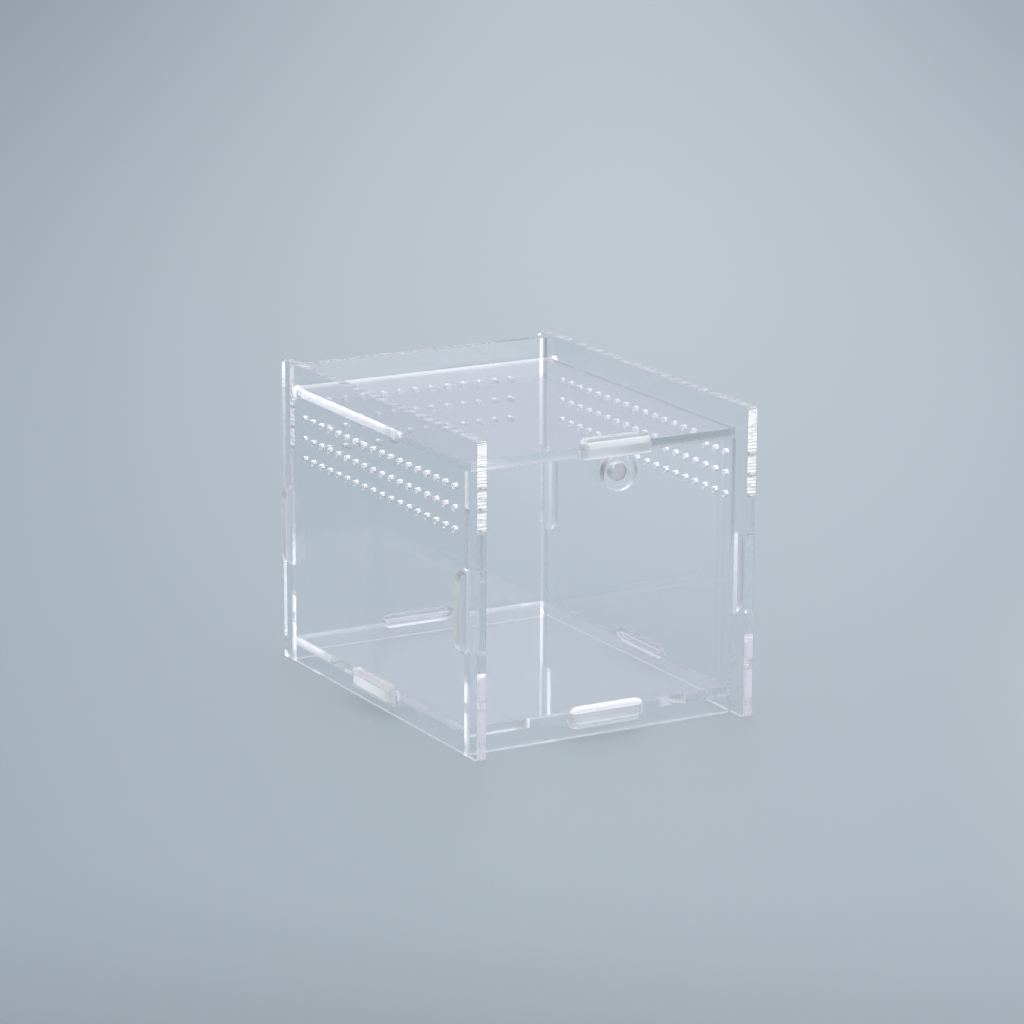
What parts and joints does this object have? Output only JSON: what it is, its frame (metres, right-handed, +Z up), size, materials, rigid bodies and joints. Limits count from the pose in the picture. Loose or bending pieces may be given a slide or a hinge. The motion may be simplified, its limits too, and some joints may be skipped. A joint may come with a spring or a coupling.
{
  "type": "acrylic reptile box",
  "caption": "Clear acrylic box for a small pet, with tab-jointed panels, vent holes, a raised floor and a recessed hinged lid held shut by a magnet latch.",
  "frame": {"origin": "on the ground at the middle of the footprint", "axes": "+X to the right along the front, +Y from the front to the hinge side, +Z up"},
  "size_m": [0.1572, 0.2, 0.152],
  "materials": {
    "clear_acrylic": "polished",
    "magnet_nickel": "satin"
  },
  "bodies": {
    "box": {"left_side_panel": "clear_acrylic", "right_side_panel": "clear_acrylic", "front_panel": "clear_acrylic", "back_panel": "clear_acrylic", "floor_panel": "clear_acrylic", "front_panel_magnet": "magnet_nickel"},
    "lid": {"lid_panel": "clear_acrylic", "lid_magnet_lug": "clear_acrylic", "lug_magnet": "magnet_nickel"}
  },
  "joints": [
    {"name": "lid_hinge", "type": "hinge", "parent": "box", "child": "lid", "pos_m": [0, 0.08641, 0.1378], "axis": [-1, 0, 0], "range_deg": [0, 95]}
  ]
}
